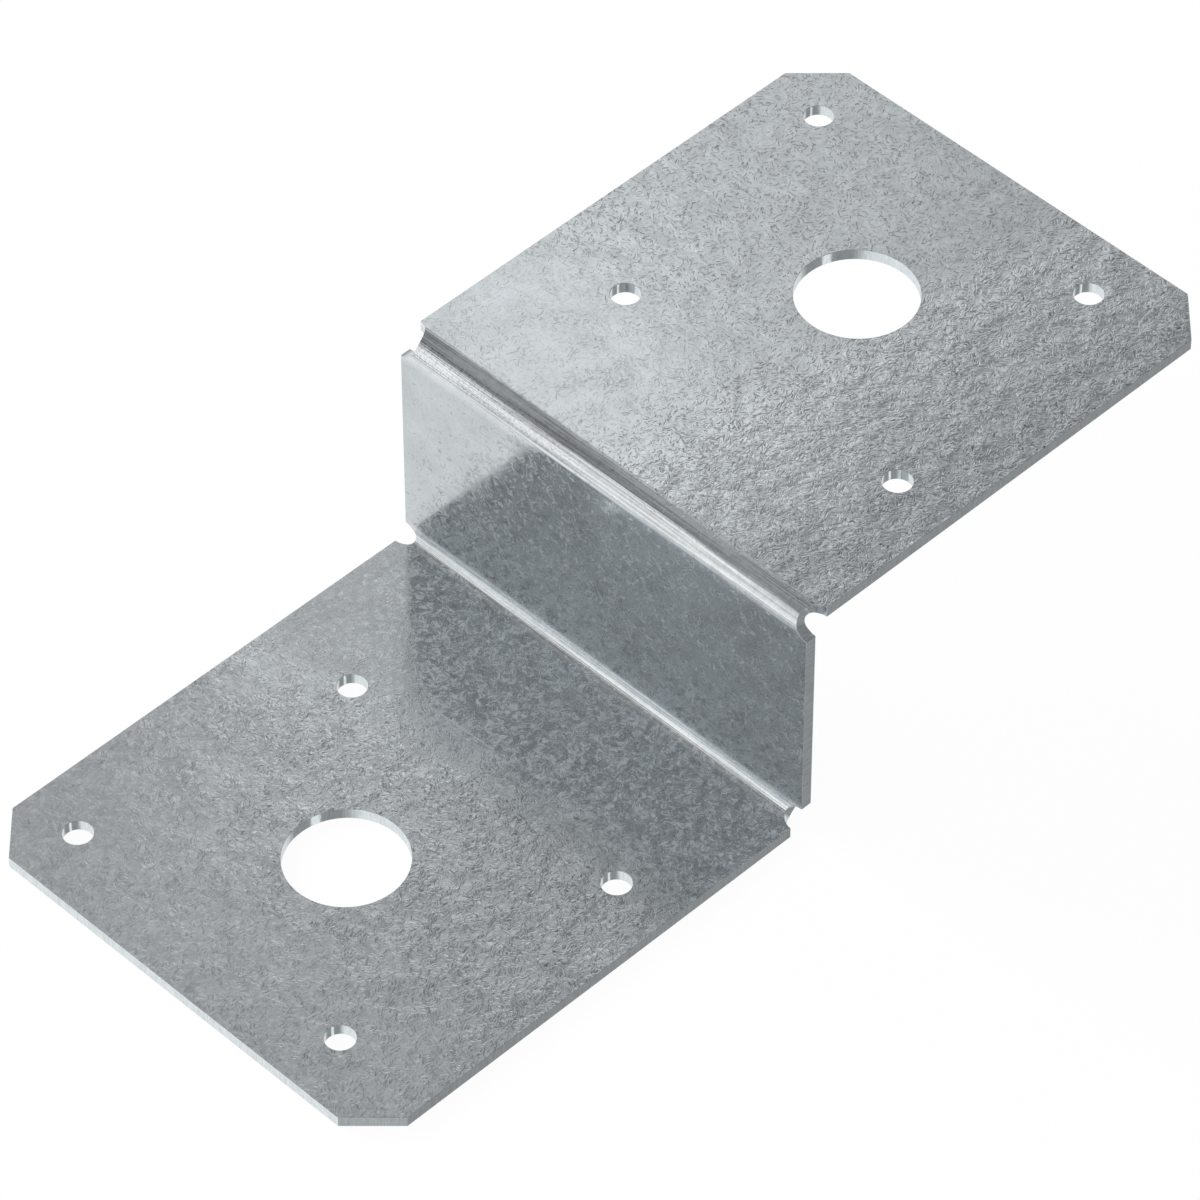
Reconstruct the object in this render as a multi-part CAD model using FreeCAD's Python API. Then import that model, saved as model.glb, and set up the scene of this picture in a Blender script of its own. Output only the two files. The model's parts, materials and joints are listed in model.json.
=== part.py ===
import FreeCAD, Part
import math
import os

# Deck joist tie: one steel sheet, punched flat and folded twice into a stepped Z.
# X runs along the tie, Y across it and Z up, in millimetres. The lower flange lies on Z = 0 and
# points to -X, the web stands on X = 0 and the upper flange points to +X. Half a turn about the
# line along Y through the middle of the web brings the tie onto itself.

# Driving dimensions
tie_width = 76.2              # across the tie
sheet_thickness = 1.75
flange_step = 38.1            # from the underside of one flange to the underside of the other
flange_reach = 79.375         # from the web's inside face to the end of a flange
bend_inside_radius = 1.8
relief_overrun = 0.25         # how far the round relief at a bend's end runs on past the bend
corner_cut = 6.35             # each leg of the cut across a flange's outer corner
bolt_hole_diameter = 17.46
bolt_hole_reach = 47.625      # from the web's inside face
nail_hole_diameter = 4.3
near_nail_reach = 25.4        # from the web's inside face to the pair of holes nearer to it
nail_margin = 9.525           # from a flange's end, and from its sides, to the nearest hole's centre
nail_stagger = 3.175          # the far pair sits this much towards +Y, the near pair towards -Y

# Sizes that follow from them
half_sheet = sheet_thickness / 2
half_width = tie_width / 2
flange_end = half_sheet + flange_reach
tie_height = flange_step + sheet_thickness
bend_outside_radius = bend_inside_radius + sheet_thickness
bend_centre_x = half_sheet + bend_inside_radius
lower_bend_z = sheet_thickness + bend_inside_radius
upper_bend_z = flange_step - bend_inside_radius
half_fold_length = math.pi / 4 * (bend_inside_radius + half_sheet)
relief_radius = half_fold_length + relief_overrun
far_nail_reach = flange_reach - nail_margin
half_nail_spacing = half_width - nail_margin - nail_stagger

# A punch starts and ends this far outside the sheet
punch_clearance = sheet_thickness / 2
relief_sections = 12

y_axis = FreeCAD.Vector(0, 1, 0)
x_axis = FreeCAD.Vector(1, 0, 0)
middle_of_web = FreeCAD.Vector(0, 0, tie_height / 2)


def side_point(x, z):
    """A point of the side view, on the tie's -Y face."""
    return FreeCAD.Vector(x, -half_width, z)


def bend_arc(centre_x, centre_z, radius, start_angle, end_angle):
    """One face of a bend in the side view, from one angle to another about the bend's axis."""
    points = []
    for angle in (start_angle, (start_angle + end_angle) / 2, end_angle):
        turn = math.radians(angle)
        points.append(side_point(centre_x + radius * math.cos(turn), centre_z + radius * math.sin(turn)))
    return Part.Arc(points[0], points[1], points[2]).toShape()


def straight(x1, z1, x2, z2):
    return Part.LineSegment(side_point(x1, z1), side_point(x2, z2)).toShape()


def folded_sheet():
    """The side view of the folded sheet, carried across the full width."""
    outline = [
        straight(-flange_end, 0, -bend_centre_x, 0),
        bend_arc(-bend_centre_x, lower_bend_z, bend_outside_radius, -90, 0),
        straight(half_sheet, lower_bend_z, half_sheet, upper_bend_z),
        bend_arc(bend_centre_x, upper_bend_z, bend_inside_radius, 180, 90),
        straight(bend_centre_x, flange_step, flange_end, flange_step),
        straight(flange_end, flange_step, flange_end, tie_height),
        straight(flange_end, tie_height, bend_centre_x, tie_height),
        bend_arc(bend_centre_x, upper_bend_z, bend_outside_radius, 90, 180),
        straight(-half_sheet, upper_bend_z, -half_sheet, lower_bend_z),
        bend_arc(-bend_centre_x, lower_bend_z, bend_inside_radius, 0, -90),
        straight(-bend_centre_x, sheet_thickness, -flange_end, sheet_thickness),
        straight(-flange_end, sheet_thickness, -flange_end, 0),
    ]
    return Part.Face(Part.Wire(outline)).extrude(y_axis * tie_width)


def cut_corners(sheet):
    """Both outer corners of both flanges, cut off at 45 degrees."""
    corners = []
    for edge in sheet.Edges:
        middle = edge.CenterOfMass
        at_end = math.isclose(abs(middle.x), flange_end, abs_tol=1e-6)
        at_side = math.isclose(abs(middle.y), half_width, abs_tol=1e-6)
        if at_end and at_side:
            corners.append(edge)
    return sheet.makeChamfer(corner_cut, corners)


def flange_punch(reach, y, diameter):
    """A round punch through the upper flange, placed from the web's inside face."""
    base = FreeCAD.Vector(half_sheet + reach, y, flange_step - punch_clearance)
    return Part.makeCylinder(diameter / 2, sheet_thickness + 2 * punch_clearance, base)


def hole_punches():
    """The bolt hole and the two staggered pairs of nail holes of the upper flange."""
    punches = [flange_punch(bolt_hole_reach, 0, bolt_hole_diameter)]
    for reach, shift in ((near_nail_reach, -nail_stagger), (far_nail_reach, nail_stagger)):
        for side in (-1, 1):
            punches.append(flange_punch(reach, side * half_nail_spacing + shift, nail_hole_diameter))
    return punches


def relief_on_bend():
    """The part of a relief that lies on the bend: a circle of the flat sheet, wrapped round the
    upper bend's axis. Each section stands square to the sheet, as deep as the circle is there."""
    inner = bend_inside_radius - punch_clearance
    outer = bend_outside_radius + punch_clearance
    sections = []
    for step in range(relief_sections + 1):
        share = step / relief_sections
        along = half_fold_length * (1 - 2 * share)
        depth = math.sqrt(relief_radius ** 2 - along ** 2)
        turn = math.radians(90 + 90 * share)
        corners = []
        for radius, y in (
            (inner, half_width - depth),
            (outer, half_width - depth),
            (outer, half_width + punch_clearance),
            (inner, half_width + punch_clearance),
        ):
            x = bend_centre_x + radius * math.cos(turn)
            z = upper_bend_z + radius * math.sin(turn)
            corners.append(FreeCAD.Vector(x, y, z))
        sections.append(Part.makePolygon(corners + corners[:1]))
    return Part.makeLoft(sections, True, False)


def relief_on_flats():
    """The rest of the circle: one segment on the flange beyond the bend, one on the web below it."""
    punch_length = sheet_thickness + 2 * punch_clearance
    flange_base = FreeCAD.Vector(bend_centre_x - half_fold_length, half_width, flange_step - punch_clearance)
    web_base = FreeCAD.Vector(-half_sheet - punch_clearance, half_width, upper_bend_z + half_fold_length)
    flange_disc = Part.makeCylinder(relief_radius, punch_length, flange_base)
    web_disc = Part.makeCylinder(relief_radius, punch_length, web_base, x_axis)
    block = 4 * relief_radius
    beyond_bend = FreeCAD.Vector(bend_centre_x, half_width - block / 2, flange_step - block / 2)
    below_bend = FreeCAD.Vector(-block / 2, half_width - block / 2, upper_bend_z - block)
    on_flange = flange_disc.common(Part.makeBox(block, block, block, beyond_bend))
    on_web = web_disc.common(Part.makeBox(block, block, block, below_bend))
    return [on_flange, on_web]


def relief_punches():
    """Round reliefs at both ends of the upper bend."""
    one_end = [relief_on_bend()] + relief_on_flats()
    other_end = [punch.mirror(FreeCAD.Vector(0, 0, 0), y_axis) for punch in one_end]
    return one_end + other_end


def half_turned(punch):
    """The same punch at the lower flange and bend."""
    turned = punch.copy()
    turned.rotate(middle_of_web, y_axis, 180)
    return turned


def joist_tie():
    punches = hole_punches() + relief_punches()
    punches += [half_turned(punch) for punch in punches]
    tie = cut_corners(folded_sheet())
    for punch in punches:
        tie = tie.cut(punch)
    return tie.removeSplitter().Solids[0]


os.makedirs("parts", exist_ok=True)
tie = joist_tie()
tie.exportStep("parts/joist_tie.step")
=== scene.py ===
import json
import math

import bmesh
import bpy
from mathutils import Matrix, Vector


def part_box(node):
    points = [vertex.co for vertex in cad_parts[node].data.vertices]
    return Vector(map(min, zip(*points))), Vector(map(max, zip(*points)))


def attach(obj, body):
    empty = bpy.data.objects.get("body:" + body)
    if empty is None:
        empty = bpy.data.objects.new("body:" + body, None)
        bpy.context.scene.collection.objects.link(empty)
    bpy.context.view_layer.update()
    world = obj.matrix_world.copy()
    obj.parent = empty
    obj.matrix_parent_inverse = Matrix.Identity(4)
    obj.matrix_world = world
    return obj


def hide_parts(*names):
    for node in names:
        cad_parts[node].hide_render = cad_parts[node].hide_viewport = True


# A deck joist tie of galvanised sheet. The sheet is made as a flat blank, punched, given a small
# rounding along every cut edge and then folded twice, so that the zinc pattern runs round the bends.
# A place on the blank is (s, y, t): along it from the middle of the web, across it, and through its
# thickness from the middle of the sheet. The lower flange lies towards -s and the upper one towards +s.

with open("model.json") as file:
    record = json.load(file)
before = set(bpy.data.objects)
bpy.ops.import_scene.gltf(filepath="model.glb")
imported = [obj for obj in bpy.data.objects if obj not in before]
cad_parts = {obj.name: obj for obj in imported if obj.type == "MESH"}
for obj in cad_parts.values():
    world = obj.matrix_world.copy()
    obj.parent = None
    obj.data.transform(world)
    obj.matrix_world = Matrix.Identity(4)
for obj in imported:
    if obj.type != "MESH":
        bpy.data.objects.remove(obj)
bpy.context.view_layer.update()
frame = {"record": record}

mm = 0.001
mounts = {mount["name"]: mount for mount in frame["record"]["mounts"]}

# Sizes of the tie, from the frame where it holds them
_, tie_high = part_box("joist_tie")
flange_end = tie_high.x
half_width = tie_high.y
tie_height = tie_high.z
sheet_thickness = mounts["upper_bolt_hole"]["dims"]["length_mm"] * mm
bend_inside_radius = 1.8 * mm
corner_cut = 6.35 * mm
relief_overrun = 0.25 * mm

# How finely the sheet is made
cut_rounding = 0.06 * mm
rounding_steps = 2
sharp_edge = math.radians(30)
bend_strips = 16
punch_facet = 0.22 * mm
most_punch_facets = 160
punch_length = 3 * sheet_thickness
weld_distance = 0.001 * mm
score_tolerance = 0.0001 * mm

# Sizes that follow from them
half_sheet = sheet_thickness / 2
bend_middle_radius = bend_inside_radius + half_sheet
bend_centre_x = half_sheet + bend_inside_radius
bend_length = math.pi / 2 * bend_middle_radius
half_web = tie_height / 2 - sheet_thickness - bend_inside_radius
half_blank = half_web + bend_length + flange_end - bend_centre_x
relief_radius = bend_length / 2 + relief_overrun

# The tie's two materials, in the order of its slots
zinc_slot, cut_slot = 0, 1

# Marks on the sheet's upper face: place along and across the blank, length and width, all in
# millimetres, and turn in degrees
scratch_marks = (
    (-39.15, 6.5, 15.5, 0.40, -87.5),
    (70.3, 25.8, 7.5, 0.32, -89.0),
    (71.9, -13.0, 7.5, 0.32, -88.0),
    (-62.05, -32.4, 2.8, 0.50, 68.0),
    (-60.4, -30.5, 1.9, 0.50, 62.0),
)
scuff_marks = (
    (15.1, -1.7, 6.4, 3.6, -55.0),
    (-20.2, -33.3, 4.0, 2.4, 90.0),
)
dark_spot_in_scuff = (16.0, -1.95, 0.55, 0.50, 0.0)

# The metal's tint, as shares of its grey, and its gloss
zinc_red, zinc_blue = 0.946, 1.038
# Nearer to grey along the bends' bright reflection: the tint of a painted highlight
highlight_red, highlight_blue = 0.966, 1.018
cut_red, cut_blue = 0.93, 1.03
brightest_zinc = 0.95
zinc_roughness = 0.06
cut_roughness = 0.13


def along_blank(x):
    """How far along the blank a point of a flange lies, from the middle of the web."""
    return math.copysign(half_web + bend_length + abs(x) - bend_centre_x, x)


def round_holes():
    """Place on the blank and radius of every hole, from the frame's mounts."""
    holes = []
    for mount in mounts.values():
        x, y, _ = mount["pos_m"]
        dims = mount["dims"]
        s = along_blank(x)
        if mount["kind"] == "bore":
            holes.append((s, y, dims["r_mm"] * mm))
        if mount["kind"] == "bolt_pattern":
            half_spacing = dims["spacing_y_mm"] * mm / 2
            for side in (-1, 1):
                holes.append((s, y + side * half_spacing, dims["hole_r_mm"] * mm))
    return holes


def bend_reliefs():
    """Place and radius of the round reliefs, centred on the blank's sides at each bend's middle."""
    bend_middle = half_web + bend_length / 2
    reliefs = []
    for bend_side in (-1, 1):
        for edge_side in (-1, 1):
            reliefs.append((bend_side * bend_middle, edge_side * half_width, relief_radius))
    return reliefs


def object_from(bm, name):
    mesh = bpy.data.meshes.new(name)
    bm.to_mesh(mesh)
    bm.free()
    made = bpy.data.objects.new(name, mesh)
    bpy.context.scene.collection.objects.link(made)
    return made


def uncut_blank():
    """The flat sheet with its four corners cut off."""
    bm = bmesh.new()
    size = (2 * half_blank, 2 * half_width, sheet_thickness, 1)
    bmesh.ops.create_cube(bm, size=1, matrix=Matrix.Diagonal(size))
    corners = []
    for edge in bm.edges:
        run = edge.verts[0].co - edge.verts[1].co
        if abs(run.z) > half_sheet:
            corners.append(edge)
    bmesh.ops.bevel(
        bm, geom=corners, offset=corner_cut, segments=1, affect="EDGES", profile=0.5, material=-1,
    )
    return object_from(bm, "blank")


def punches():
    """All the round punches, standing through the blank."""
    bm = bmesh.new()
    for s, y, radius in round_holes() + bend_reliefs():
        facets = 8 * round(2 * math.pi * radius / punch_facet / 8)
        bmesh.ops.create_cone(
            bm, cap_ends=True, segments=min(facets, most_punch_facets), radius1=radius, radius2=radius,
            depth=punch_length, matrix=Matrix.Translation((s, y, 0)),
        )
    return object_from(bm, "punches")


def punched_blank():
    """The blank after punching, as a bmesh."""
    blank = uncut_blank()
    tools = punches()
    punch = blank.modifiers.new("punch", "BOOLEAN")
    punch.object = tools
    punch.operation = "DIFFERENCE"
    punch.solver = "EXACT"
    punched = blank.evaluated_get(bpy.context.evaluated_depsgraph_get())
    bm = bmesh.new()
    bm.from_mesh(punched.to_mesh())
    punched.to_mesh_clear()
    for used in (blank, tools):
        bpy.data.objects.remove(used)
    bmesh.ops.remove_doubles(bm, verts=bm.verts, dist=weld_distance)
    return bm


def round_cut_edges(bm):
    """A small rounding along every sharp edge. Returns the new faces."""
    sharp = [edge for edge in bm.edges if edge.calc_face_angle(0) > sharp_edge]
    made = bmesh.ops.bevel(
        bm, geom=sharp, offset=cut_rounding, segments=rounding_steps, affect="EDGES", profile=0.5,
        material=-1, clamp_overlap=False,
    )
    return made["faces"]


def score_bends(bm):
    """Lines across the blank where it will turn, close enough together for a smooth bend."""
    for bend_side in (-1, 1):
        for line in range(bend_strips + 1):
            s = bend_side * (half_web + bend_length * line / bend_strips)
            bmesh.ops.bisect_plane(
                bm, geom=bm.verts[:] + bm.edges[:] + bm.faces[:], dist=score_tolerance,
                plane_co=(s, 0, 0), plane_no=(1, 0, 0),
            )


def turn_at(s):
    """How far the sheet has turned at a place on the blank: nothing on the web, a quarter on a flange."""
    return min(max((abs(s) - half_web) / bend_middle_radius, 0), math.pi / 2)


def folded(place):
    """Where a point of the blank lies on the folded tie."""
    s, y, t = place
    side = math.copysign(1, s)
    turn = turn_at(s)
    radius = bend_middle_radius + side * t
    beyond = max(abs(s) - half_web - bend_length, 0)
    x = side * (bend_centre_x - radius * math.cos(turn) + beyond)
    z = tie_height / 2 + side * (min(abs(s), half_web) + radius * math.sin(turn))
    return Vector((x, y, z))


def folded_direction(direction, s):
    """A direction on the blank, turned as the fold turns it."""
    along, across, out = direction
    turn = turn_at(s)
    x = along * math.sin(turn) - out * math.cos(turn)
    z = along * math.cos(turn) + out * math.sin(turn)
    return Vector((x, across, z))


def surface_direction(vert, roundings):
    """The way a point of the blank faces, going by the flat faces and walls beside it alone."""
    total = Vector((0, 0, 0))
    for face in vert.link_faces:
        if face not in roundings:
            total += face.normal * face.calc_area()
    return total.normalized() if total.length > 0 else vert.normal.copy()


def joist_tie():
    """The finished tie. Each point keeps its place on the blank in the attribute blank_place."""
    bm = punched_blank()
    blank_place = bm.verts.layers.float_vector.new("blank_place")
    rounding_mark = bm.faces.layers.int.new("rounding")
    for face in round_cut_edges(bm):
        face[rounding_mark] = 1
    score_bends(bm)
    bm.normal_update()
    roundings = {face for face in bm.faces if face[rounding_mark]}
    for face in bm.faces:
        face.smooth = True
        on_wall = abs(face.normal.z) < 0.5 and face not in roundings
        face.material_index = cut_slot if on_wall else zinc_slot
    directions = []
    for vert in bm.verts:
        directions.append(folded_direction(surface_direction(vert, roundings), vert.co.x))
    for vert in bm.verts:
        vert[blank_place] = vert.co
        vert.co = folded(vert.co)
    tie = object_from(bm, "galvanised_tie")
    tie.data.normals_split_custom_set_from_vertices(directions)
    return tie


def put(tree, kind, inputs=None, out=0, **settings):
    """Adds one node, with its settings and its inputs, and returns one of its outputs."""
    node = tree.nodes.new(kind)
    for name, value in settings.items():
        setattr(node, name, value)
    for name, value in (inputs or {}).items():
        if isinstance(value, bpy.types.NodeSocket):
            tree.links.new(value, node.inputs[name])
        else:
            node.inputs[name].default_value = value
    return node.outputs[out] if node.outputs else node


def maths(tree, operation, first, second=0.0, third=0.0):
    return put(tree, "ShaderNodeMath", {0: first, 1: second, 2: third}, operation=operation)


def product(tree, first, *others):
    for other in others:
        first = maths(tree, "MULTIPLY", first, other)
    return first


def largest(tree, first, *others):
    for other in others:
        first = maths(tree, "MAXIMUM", first, other)
    return first


def layered(tree, value, *layers):
    """The value with each layer's pattern added to it in the layer's own amount."""
    for pattern, amount in layers:
        value = maths(tree, "MULTIPLY_ADD", pattern, amount, value)
    return value


def ramp(tree, value, span, result=(0.0, 1.0), smooth=True):
    """The value carried from one range to another, and held at its ends."""
    return put(tree, "ShaderNodeMapRange", {
        "Value": value,
        "From Min": span[0], "From Max": span[1],
        "To Min": result[0], "To Max": result[1],
    }, interpolation_type="SMOOTHSTEP" if smooth else "LINEAR", clamp=True)


def strip(tree, along, middle, full_to, gone_by, strength=1.0):
    """A strip across the blank, full up to one distance from its middle line and gone by another."""
    distance = maths(tree, "ABSOLUTE", maths(tree, "SUBTRACT", along, middle))
    return ramp(tree, distance, (full_to, gone_by), (strength, 0.0))


def split(tree, vector):
    """The X, Y and Z of a vector."""
    return put(tree, "ShaderNodeSeparateXYZ", {"Vector": vector}).node.outputs


def measured(tree, vector, way):
    """How far a vector reaches along the given way."""
    return put(tree, "ShaderNodeVectorMath", {0: vector, 1: way}, out=1, operation="DOT_PRODUCT")


def stretched(tree, place, size, turn=0.0):
    """The place turned about the sheet's own upright and measured in the given sizes."""
    inputs = {"Vector": place, "Rotation": (0, 0, turn), "Scale": size}
    return put(tree, "ShaderNodeMapping", inputs, vector_type="TEXTURE")


def turned_about_upright(tree, place, share):
    """The place turned by a share of half a turn."""
    angle = maths(tree, "MULTIPLY", share, math.pi)
    inputs = {"Vector": place, "Angle": angle}
    return put(tree, "ShaderNodeVectorRotate", inputs, rotation_type="Z_AXIS")


def noise(tree, place, scale, detail=2.0, roughness=0.5, distortion=0.0):
    return put(tree, "ShaderNodeTexNoise", {
        "Vector": place, "Scale": scale, "Detail": detail, "Roughness": roughness,
        "Distortion": distortion,
    })


def grain(tree, place, size, detail, roughness=0.5, turn=0.0):
    """Noise with grains of the given sizes along, across and through the sheet, in millimetres."""
    return noise(tree, stretched(tree, place, size, turn), 1.0, detail, roughness)


def new_material(name):
    material = bpy.data.materials.new(name)
    material.use_nodes = True
    tree = material.node_tree
    tree.nodes.clear()
    return material, tree


def place_in_mm(tree):
    """The place on the blank, in millimetres."""
    place = put(
        tree, "ShaderNodeAttribute", out=1, attribute_name="blank_place", attribute_type="GEOMETRY",
    )
    return put(tree, "ShaderNodeVectorMath", {0: place, "Scale": 1 / mm}, operation="SCALE")


def from_middle_of_web(tree, place):
    """How far along the blank a place lies from the middle of the web, in millimetres."""
    return maths(tree, "ABSOLUTE", split(tree, place)["X"])


def tinted(tree, tone, red, blue):
    """A grey of the given tone, with its red and its blue a little off it."""
    return put(tree, "ShaderNodeCombineColor", {
        "Red": maths(tree, "MULTIPLY", tone, red),
        "Green": tone,
        "Blue": maths(tree, "MULTIPLY", tone, blue),
    })


def bare_metal(tree, colour, roughness, height):
    """Metal of the given colour and roughness, with a fine relief in millimetres."""
    bump = put(tree, "ShaderNodeBump", {"Height": height, "Strength": 1.0, "Distance": mm})
    shader = put(tree, "ShaderNodeBsdfPrincipled", {
        "Base Color": colour, "Metallic": 1.0, "Roughness": roughness, "Normal": bump,
    })
    put(tree, "ShaderNodeOutputMaterial", {"Surface": shader})


def warped_place(tree, place):
    """The place, carried about within the sheet by up to a millimetre, so that no crystal is regular."""
    drift = put(tree, "ShaderNodeTexNoise", {"Vector": place, "Scale": 0.8, "Detail": 2.0}, out=1)
    inputs = {0: drift, 1: (1.0, 1.0, 0), 2: place}
    return put(tree, "ShaderNodeVectorMath", inputs, operation="MULTIPLY_ADD")


def cells(tree, place, spacing):
    """Irregular cells of about the given spacing: the place from a cell's centre, in spacings, and
    three chance values of the cell's own."""
    scaled = stretched(tree, place, (spacing, spacing, 1))
    inputs = {"Vector": scaled, "Scale": 1.0}
    found = put(tree, "ShaderNodeTexVoronoi", inputs, voronoi_dimensions="2D").node.outputs
    chance = put(tree, "ShaderNodeSeparateColor", {"Color": found["Color"]}).node.outputs
    inputs = {0: scaled, 1: found["Position"]}
    from_centre = put(tree, "ShaderNodeVectorMath", inputs, operation="SUBTRACT")
    return from_centre, chance


def needles(tree, place, crystal, width, length):
    """Fine needles, side by side within each crystal of the zinc and turned its own way, and the
    crystal's lightness. Sizes in millimetres."""
    _, chance = cells(tree, place, crystal)
    turned = turned_about_upright(tree, place, chance["Red"])
    return grain(tree, turned, (width, length, 1), detail=1.0), chance["Green"]


def painted_dark_ticks(tree, place, spacing, length, width, share):
    """Short dark ticks, painted into the tone as painted shade of small dents that have no relief, at
    most one to a cell of the given spacing, each turned its own way.
    """
    from_centre, chance = cells(tree, place, spacing)
    sides = split(tree, turned_about_upright(tree, from_centre, chance["Red"]))
    tick_end = length / spacing / 2
    tick_side = width / spacing / 2
    tick = product(
        tree,
        ramp(tree, maths(tree, "ABSOLUTE", sides["X"]), (tick_end / 2, tick_end), (1.0, 0.0)),
        ramp(tree, maths(tree, "ABSOLUTE", sides["Y"]), (0.0, tick_side), (1.0, 0.0)),
    )
    depth = ramp(tree, chance["Green"], (share, 0.0), smooth=False)
    return product(tree, tick, depth)


def mark(tree, place, s, y, length, width, turn):
    """One mark, fading out towards its ends and sides. It isn't deep enough to show on the lower face."""
    depth = 0.5
    own = put(tree, "ShaderNodeMapping", {
        "Vector": place, "Location": (s, y, half_sheet / mm), "Rotation": (0, 0, math.radians(turn)),
        "Scale": (length / 2, width / 2, depth),
    }, vector_type="TEXTURE")
    reach = put(tree, "ShaderNodeVectorMath", {0: own}, out=1, operation="LENGTH")
    return ramp(tree, reach, (0.4, 1.0), (1.0, 0.0))


def scratches(tree, place):
    """Broken pale lines where the tie has rubbed against others."""
    lines = largest(tree, *[mark(tree, place, *numbers) for numbers in scratch_marks])
    unbroken = ramp(tree, noise(tree, place, scale=0.7, detail=2.0), (0.32, 0.46))
    return product(tree, lines, unbroken)


def scuffs(tree, place):
    """Two pale rubbed patches, one high on the web and one beside the lower bend."""
    ragged = grain(tree, place, (0.35, 0.8, 1), detail=3.0, roughness=0.8, turn=-0.9)
    patches = largest(tree, *[mark(tree, place, *numbers) for numbers in scuff_marks])
    patches = ramp(tree, layered(tree, patches, (ragged, 2.6)), (1.9, 2.8))
    return maths(tree, "SUBTRACT", patches, mark(tree, place, *dark_spot_in_scuff))


def relief_strength(tree, place):
    """How strongly the zinc is creased, how far fine cracks show in it and how much painted sheen
    lightens
    its tone there: most on the -Y side of the upper flange and across the middle of the lower one.
    The sheen is painted light: a lighter tone that stands in for a lighter reflection."""
    sides = split(tree, place)
    slant = measured(tree, place, (0.12, 1, 0))
    on_upper = ramp(tree, sides["X"], (0.0, 1.0))
    on_lower = ramp(tree, sides["X"], (0.0, -1.0))
    lower_middle = product(
        tree,
        ramp(tree, sides["X"], (-84.0, -55.0), (0.2, 1.0)),
        ramp(tree, sides["X"], (-43.0, -37.0), (1.0, 0.3)),
        ramp(tree, sides["Y"], (32.0, 8.0), (0.3, 1.0)),
        on_lower,
    )
    creased = product(tree, ramp(tree, slant, (8.0, -12.0)), on_upper)
    creased = largest(tree, creased, lower_middle)
    strength = maths(tree, "MULTIPLY_ADD", creased, 0.87, 0.13)
    near_end = ramp(tree, sides["X"], (38.0, 58.0), (0.05, 0.40))
    cracked = product(tree, largest(tree, ramp(tree, slant, (12.0, -5.0)), near_end), on_upper)
    cracked = largest(tree, cracked, lower_middle)
    # Painted sheen: a band of lighter tone across the upper flange, painted in as a reflection
    painted_sheen = product(
        tree,
        ramp(tree, slant, (7.0, -5.0)),
        ramp(tree, slant, (-8.0, -30.0), (1.0, 0.0)),
        ramp(tree, sides["X"], (30.0, 60.0), (1.0, 0.6)),
        on_upper,
    )
    # Painted sheen on the middle of the lower flange, strongest towards +Y
    lower_painted_sheen = ramp(tree, sides["Y"], (10.0, -14.0), (0.7, 0.12))
    painted_sheen = maths(tree, "MULTIPLY_ADD", lower_middle, lower_painted_sheen, painted_sheen)
    return strength, cracked, painted_sheen


def beside_web(tree, place):
    """The part of the lower flange next to the web. Its tone is painted lighter there, as painted light,
    and its zinc is a little duller.
    """
    slant = measured(tree, place, (1, 0.25, 0))
    along = split(tree, place)["X"]
    return product(tree, ramp(tree, slant, (-52.0, -38.0)), ramp(tree, along, (-19.0, -20.5)))


def mottle_amount(tree, place):
    """How uneven the zinc's tone is: most on the lower flange and towards the end of the upper one."""
    along = split(tree, place)["X"]
    lower = ramp(tree, along, (-20.0, -16.0), (1.0, 0.35))
    upper_end = ramp(tree, along, (35.0, 60.0), (0.0, 0.45))
    return maths(tree, "ADD", lower, upper_end)


def flake_amount(tree, place, strength):
    """How dull the flakes of zinc are: most on the web and on the lower flange beside it."""
    along = split(tree, place)["X"]
    by_web = product(
        tree,
        ramp(tree, along, (-50.0, -40.0)),
        ramp(tree, along, (-20.0, 18.0), (1.4, 1.0)),
        ramp(tree, along, (16.0, 18.0), (1.0, 0.0)),
    )
    return largest(tree, maths(tree, "MULTIPLY", strength, 0.5), by_web)


def bend_lines(tree, place):
    """Fine lines along the bends, where the sheet has been drawn over the tool, with the groove at
    the web's side of each bend, and how far the drawn part reaches. Over that part the zinc keeps its
    plain gloss, and its tone is also painted lighter, as a painted reflection."""
    along = split(tree, place)["X"]
    on_bend = largest(
        tree,
        strip(tree, along, middle=-17.55, full_to=1.35, gone_by=1.6),
        strip(tree, along, middle=18.5, full_to=1.8, gone_by=2.0),
    )
    lines = grain(tree, place, (0.24, 30.0, 2.0), detail=1.5, roughness=0.7)
    lines = ramp(tree, lines, (0.40, 0.66))
    between_grooves = maths(tree, "ABSOLUTE", maths(tree, "SUBTRACT", along, 0.2))
    groove = strip(tree, between_grooves, middle=16.95, full_to=0.05, gone_by=0.2, strength=0.7)
    return product(tree, largest(tree, lines, groove), on_bend), on_bend


def highlight_tint_band(tree, place):
    """The band along the middle of each bend where it mirrors bright surroundings: there the tint is
    painted nearer to grey, as a painted highlight.
    """
    along = split(tree, place)["X"]
    return largest(
        tree,
        strip(tree, along, middle=-17.3, full_to=1.6, gone_by=1.9),
        strip(tree, along, middle=17.8, full_to=0.9, gone_by=1.15),
    )


def tarnish(tree, place):
    """The uneven darker zinc of the upper bend, above the pale line and just below it."""
    along = split(tree, place)["X"]
    shoulder = product(tree, ramp(tree, along, (18.4, 18.9)), ramp(tree, along, (20.5, 20.3)))
    uneven = grain(tree, place, (0.5, 1.4, 1), detail=3.0, roughness=0.7)
    above = product(tree, ramp(tree, uneven, (0.38, 0.62)), shoulder)
    below = strip(tree, along, middle=17.05, full_to=0.25, gone_by=0.45, strength=0.8)
    return largest(tree, above, below)


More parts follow.
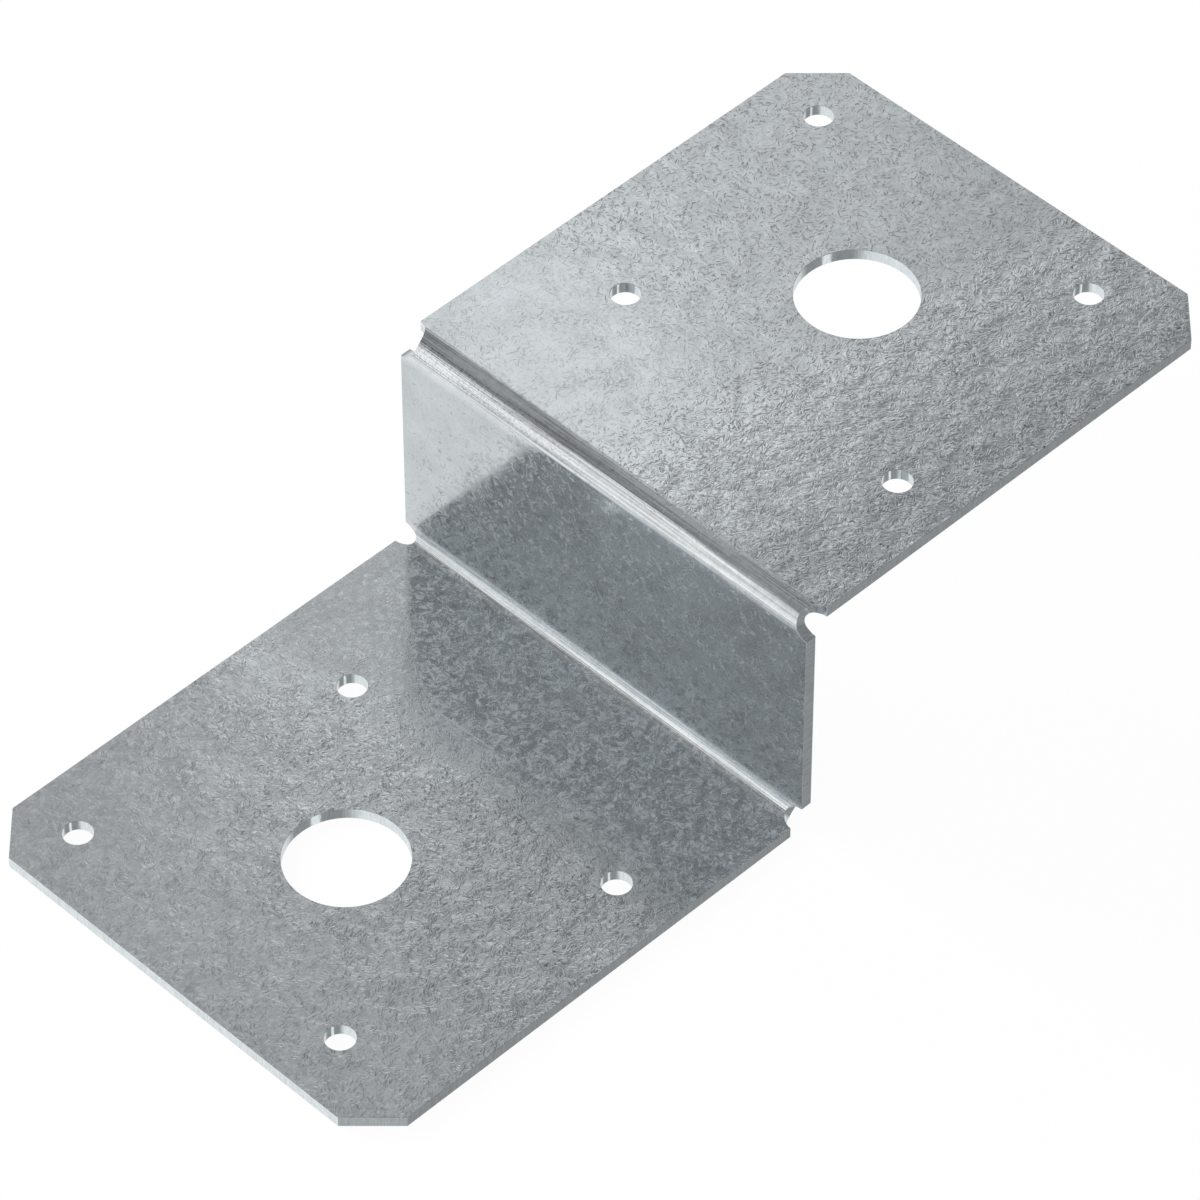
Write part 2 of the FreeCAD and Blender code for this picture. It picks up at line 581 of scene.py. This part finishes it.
def crazing(tree, place):
    """Small broken spots in the zinc of the upper bend, most of them towards +Y."""
    sides = split(tree, place)
    spots = grain(tree, place, (0.22, 0.4, 1), detail=2.0, roughness=0.7)
    return product(
        tree,
        ramp(tree, spots, (0.50, 0.38)),
        ramp(tree, sides["Y"], (-6.0, 20.0), (0.25, 1.0)),
        strip(tree, sides["X"], middle=18.2, full_to=0.9, gone_by=1.3),
    )


def zinc_height(tree, place, warped, needle, relief, cracks, drawn):
    """The height of the zinc's fine relief, in millimetres."""
    lump_height, needle_height = 0.048, 0.044
    crack_depth, swell_height, drawn_height = 0.034, 0.02, 0.012
    lumps = noise(tree, warped, scale=0.6, detail=2.0, roughness=0.6)
    swell = noise(tree, place, scale=0.22, detail=1.0)
    creases = layered(tree, maths(tree, "MULTIPLY", lumps, lump_height), (needle, needle_height))
    return layered(
        tree, product(tree, creases, relief),
        (cracks, -crack_depth),
        (swell, swell_height),
        (drawn, drawn_height),
    )


def zinc_tone(tree, place, lightness, flakes, *changes):
    """The zinc's clouded and mottled tone, with painted shade over the web, and the changes that patterns
    make to it.
    """
    clouds = noise(tree, place, scale=0.16, detail=5.0, roughness=0.6, distortion=0.4)
    crystals = ramp(tree, lightness, (0.0, 1.0), (-0.11, 0.01), smooth=False)
    mottle = product(tree, layered(tree, crystals, (flakes, 0.13)), mottle_amount(tree, place))
    # Painted shade: the web is painted darker than the flanges
    painted_web_shade = ramp(tree, from_middle_of_web(tree, place), (15.0, 16.5), (0.12, 0.0))
    tone = ramp(tree, clouds, (0.3, 0.7), (0.70, 0.80), smooth=False)
    tone = maths(tree, "ADD", tone, mottle)
    tone = maths(tree, "SUBTRACT", tone, painted_web_shade)
    return maths(tree, "MINIMUM", layered(tree, tone, *changes), brightest_zinc)


def zinc_dullness(tree, place, warped, lightness, flakes, strength):
    """How dull the flakes and blotches of the zinc are."""
    blotches = noise(tree, warped, scale=1.0, detail=4.0, roughness=0.7)
    blotches = ramp(tree, blotches, (0.30, 0.70))
    dull = layered(tree, maths(tree, "MULTIPLY", blotches, 0.4), (flakes, 0.6))
    crystals = ramp(tree, lightness, (0.0, 1.0), (0.15, 0.6))
    return product(tree, dull, crystals, flake_amount(tree, place, strength))


def galvanised_sheet():
    """Bright zinc with fine needles, creases and clouding, drawn lines along the bends, and painted
    light: short dark ticks and a darker web as painted shade, lighter bands and patches as painted sheen.
    """
    material, tree = new_material("galvanised_sheet")
    place = place_in_mm(tree)
    warped = warped_place(tree, place)
    needle, lightness = needles(tree, warped, crystal=0.95, width=0.30, length=1.1)
    flakes = ramp(tree, needle, (0.46, 0.66))

    # Where each pattern lies, and how strong it is there
    on_flange = ramp(tree, from_middle_of_web(tree, place), (18.8, 20.8), (0.12, 1.0))
    patchy = ramp(tree, noise(tree, place, scale=0.28, detail=2.0), (0.35, 0.65), (0.6, 1.4))
    strength, crack_share, painted_sheen = relief_strength(tree, place)
    relief = product(tree, strength, patchy, on_flange)
    between_needles = ramp(tree, needle, (0.41, 0.31))
    cracks = product(tree, crack_share, patchy, on_flange, between_needles)
    drawn, on_bend = bend_lines(tree, place)
    by_web = beside_web(tree, place)
    scratched = scratches(tree, place)
    scuffed = scuffs(tree, place)
    # Painted shade: short dark ticks in the tone, with no relief under them
    dark_ticks = largest(
        tree,
        painted_dark_ticks(tree, warped, spacing=2.4, length=0.7, width=0.28, share=0.4),
        painted_dark_ticks(tree, warped, spacing=5.0, length=1.4, width=0.26, share=0.4),
    )

    height = zinc_height(tree, place, warped, needle, relief, cracks, drawn)
    tone = zinc_tone(
        tree, place, lightness, flakes,
        # painted sheen: lighter tone standing in for a lighter reflection
        (product(tree, painted_sheen, on_flange), 0.20),
        # painted light: the lower flange beside the web painted lighter
        (by_web, 0.10),
        # painted shade: the tone is darker in the cracks
        (cracks, -0.28),
        (tarnish(tree, place), -0.10),
        # painted shade: the dark ticks
        (dark_ticks, -0.28),
        # painted reflection: the bends' tone raised to lighten the band they mirror
        (on_bend, 0.20),
        (drawn, -0.34),
        (crazing(tree, place), -0.22),
        (scratched, 0.22),
        (scuffed, 0.20),
    )
    # Painted highlight: the tint goes nearer to grey along each bend's bright band
    highlight_band = highlight_tint_band(tree, place)
    colour = tinted(
        tree, tone,
        red=ramp(tree, highlight_band, (0.0, 1.0), (zinc_red, highlight_red)),
        blue=ramp(tree, highlight_band, (0.0, 1.0), (zinc_blue, highlight_blue)),
    )
    dull = zinc_dullness(tree, place, warped, lightness, flakes, strength)
    dull = layered(tree, dull, (by_web, 0.03), (scratched, 0.9), (scuffed, 0.70))
    off_bend = maths(tree, "SUBTRACT", 1.0, on_bend)
    roughness = maths(tree, "MULTIPLY_ADD", dull, off_bend, zinc_roughness)
    bare_metal(tree, colour, roughness, height)
    return material


def cut_steel():
    """The sheared thickness of the sheet, with fine marks square to its faces."""
    material, tree = new_material("cut_steel")
    place = place_in_mm(tree)
    mark_height = 0.008
    marks = grain(tree, place, (0.25, 0.25, 1.7), detail=3.0, roughness=0.6)
    tone = ramp(tree, marks, (0.3, 0.7), (0.70, 0.86))
    height = maths(tree, "MULTIPLY", marks, mark_height)
    bare_metal(tree, tinted(tree, tone, cut_red, cut_blue), cut_roughness, height)
    return material


def pale_floor():
    """A white floor that keeps a faint shadow. The metal looks past it, into the studio's lower half."""
    half_side = 4.0
    drop = 0.02 * mm
    white_share = 0.88
    bm = bmesh.new()
    bmesh.ops.create_grid(
        bm, x_segments=1, y_segments=1, size=half_side, matrix=Matrix.Translation((0, 0, -drop)),
    )
    floor = object_from(bm, "floor")
    material, tree = new_material("white_floor")
    painted = put(tree, "ShaderNodeBsdfDiffuse", {"Color": (0.8, 0.8, 0.8, 1)})
    bright = put(tree, "ShaderNodeEmission", {"Color": (1, 1, 1, 1), "Strength": 1.08})
    rays = tree.nodes.new("ShaderNodeLightPath").outputs
    seen = largest(tree, rays["Is Camera Ray"], rays["Is Transmission Ray"])
    inputs = {0: maths(tree, "MULTIPLY", seen, white_share), 1: painted, 2: bright}
    mixed = put(tree, "ShaderNodeMixShader", inputs)
    put(tree, "ShaderNodeOutputMaterial", {"Surface": mixed})
    floor.data.materials.append(material)
    floor.visible_glossy = False


def blend(tree, share, first, second):
    """From the first level to the second, by a share of 0 to 1."""
    return put(tree, "ShaderNodeMix", {0: share, 2: first, 3: second}, data_type="FLOAT")


def upper_studio(tree, direction, left, sides):
    """Bright walls to the left, a darker ceiling that dims in steps, and a darker right side."""
    ahead = measured(tree, direction, (0.420, 0.948, 0))
    wall = ramp(tree, left, (-0.09, -0.01), (0.45, 0.68))
    wall = maths(tree, "ADD", wall, ramp(tree, sides["X"], (0.519, 0.511), (0.0, 0.24)))
    ceiling = ramp(tree, left, (-0.02, 0.03), (0.25, 0.455))
    for start, end, dimmer in ((0.07, 0.12, 0.05), (0.1, 0.2, 0.075), (0.5, 0.65, 0.072)):
        step = ramp(tree, left, (start, end), (0.0, dimmer))
        ceiling = maths(tree, "SUBTRACT", ceiling, step)
    high_wall = product(tree, ramp(tree, ahead, (0.657, 0.683)), ramp(tree, left, (0.070, 0.008)))
    low_wall = product(
        tree, ramp(tree, left, (0.1, 0.3)), ramp(tree, sides["Z"], (0.47, 0.66), (1.0, 0.0))
    )
    wall_share = largest(tree, high_wall, low_wall)
    wall_over_ceiling = maths(tree, "SUBTRACT", wall, ceiling)
    return maths(tree, "MULTIPLY_ADD", wall_over_ceiling, wall_share, ceiling)


def lower_studio(tree, direction, left):
    """The pale ground that the metal sees: bright to the left and far away, with one bright opening."""
    away = measured(tree, direction, (0.707, 0.707, 0))
    across = measured(tree, direction, (0.983, 0.191, 0))
    opening = product(
        tree,
        ramp(tree, maths(tree, "ABSOLUTE", across), (0.10, 0.12), (1.0, 0.0)),
        ramp(tree, left, (-0.40, -0.46)),
    )
    to_the_left = ramp(tree, left, (-0.15, 0.4), (0.32, 0.94))
    far_away = ramp(tree, away, (0.12, 0.45), (0.32, 0.82))
    return largest(tree, to_the_left, far_away, opening)


def studio():
    """The light all round, which the metal mirrors. The camera sees it white."""
    world = bpy.data.worlds.new("studio")
    bpy.context.scene.world = world
    world.use_nodes = True
    tree = world.node_tree
    tree.nodes.clear()
    direction = put(tree, "ShaderNodeTexCoord")
    left = measured(tree, direction, (-0.707, 0.707, 0))
    sides = split(tree, direction)
    above = upper_studio(tree, direction, left, sides)
    below = lower_studio(tree, direction, left)
    level = blend(tree, ramp(tree, sides["Z"], (0.0, -0.25)), above, below)
    rays = tree.nodes.new("ShaderNodeLightPath").outputs
    level = blend(tree, rays["Is Camera Ray"], level, 1.0)
    background = put(tree, "ShaderNodeBackground", {"Color": (1, 1, 1, 1), "Strength": level})
    put(tree, "ShaderNodeOutputWorld", {"Surface": background})


def soft_lamp(name, direction, distance, size, power):
    """A round lamp that faces the tie and isn't mirrored in it."""
    data = bpy.data.lights.new(name, "AREA")
    data.shape = "DISK"
    data.size = size
    data.energy = power
    lamp = bpy.data.objects.new(name, data)
    bpy.context.scene.collection.objects.link(lamp)
    lamp.visible_glossy = False
    lamp.location = Vector(direction).normalized() * distance
    lamp.rotation_euler = (-lamp.location).to_track_quat("-Z", "Y").to_euler()


def camera():
    """The photograph's viewing place: over the tie's lower front corner, looking down at 46 degrees."""
    place = Vector((-0.477500, -0.478604, 0.714887))
    aim = Vector((-0.001956, -0.001128, 0.017818))
    roll = math.radians(-0.096)
    data = bpy.data.cameras.new("camera")
    data.sensor_width = 36.0
    data.lens = 216.409
    eye = bpy.data.objects.new("camera", data)
    bpy.context.scene.collection.objects.link(eye)
    look = (aim - place).to_track_quat("-Z", "Y").to_matrix() @ Matrix.Rotation(roll, 3, "Z")
    eye.matrix_world = Matrix.Translation(place) @ look.to_4x4()
    bpy.context.scene.camera = eye


tie = joist_tie()
tie.data.materials.append(galvanised_sheet())
tie.data.materials.append(cut_steel())
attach(tie, "root")
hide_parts("joist_tie")

pale_floor()
studio()
soft_lamp("key", direction=(-0.2, 0.84, 0.5), distance=1.2, size=0.5, power=4)
camera()
bpy.context.scene.view_settings.view_transform = "Standard"
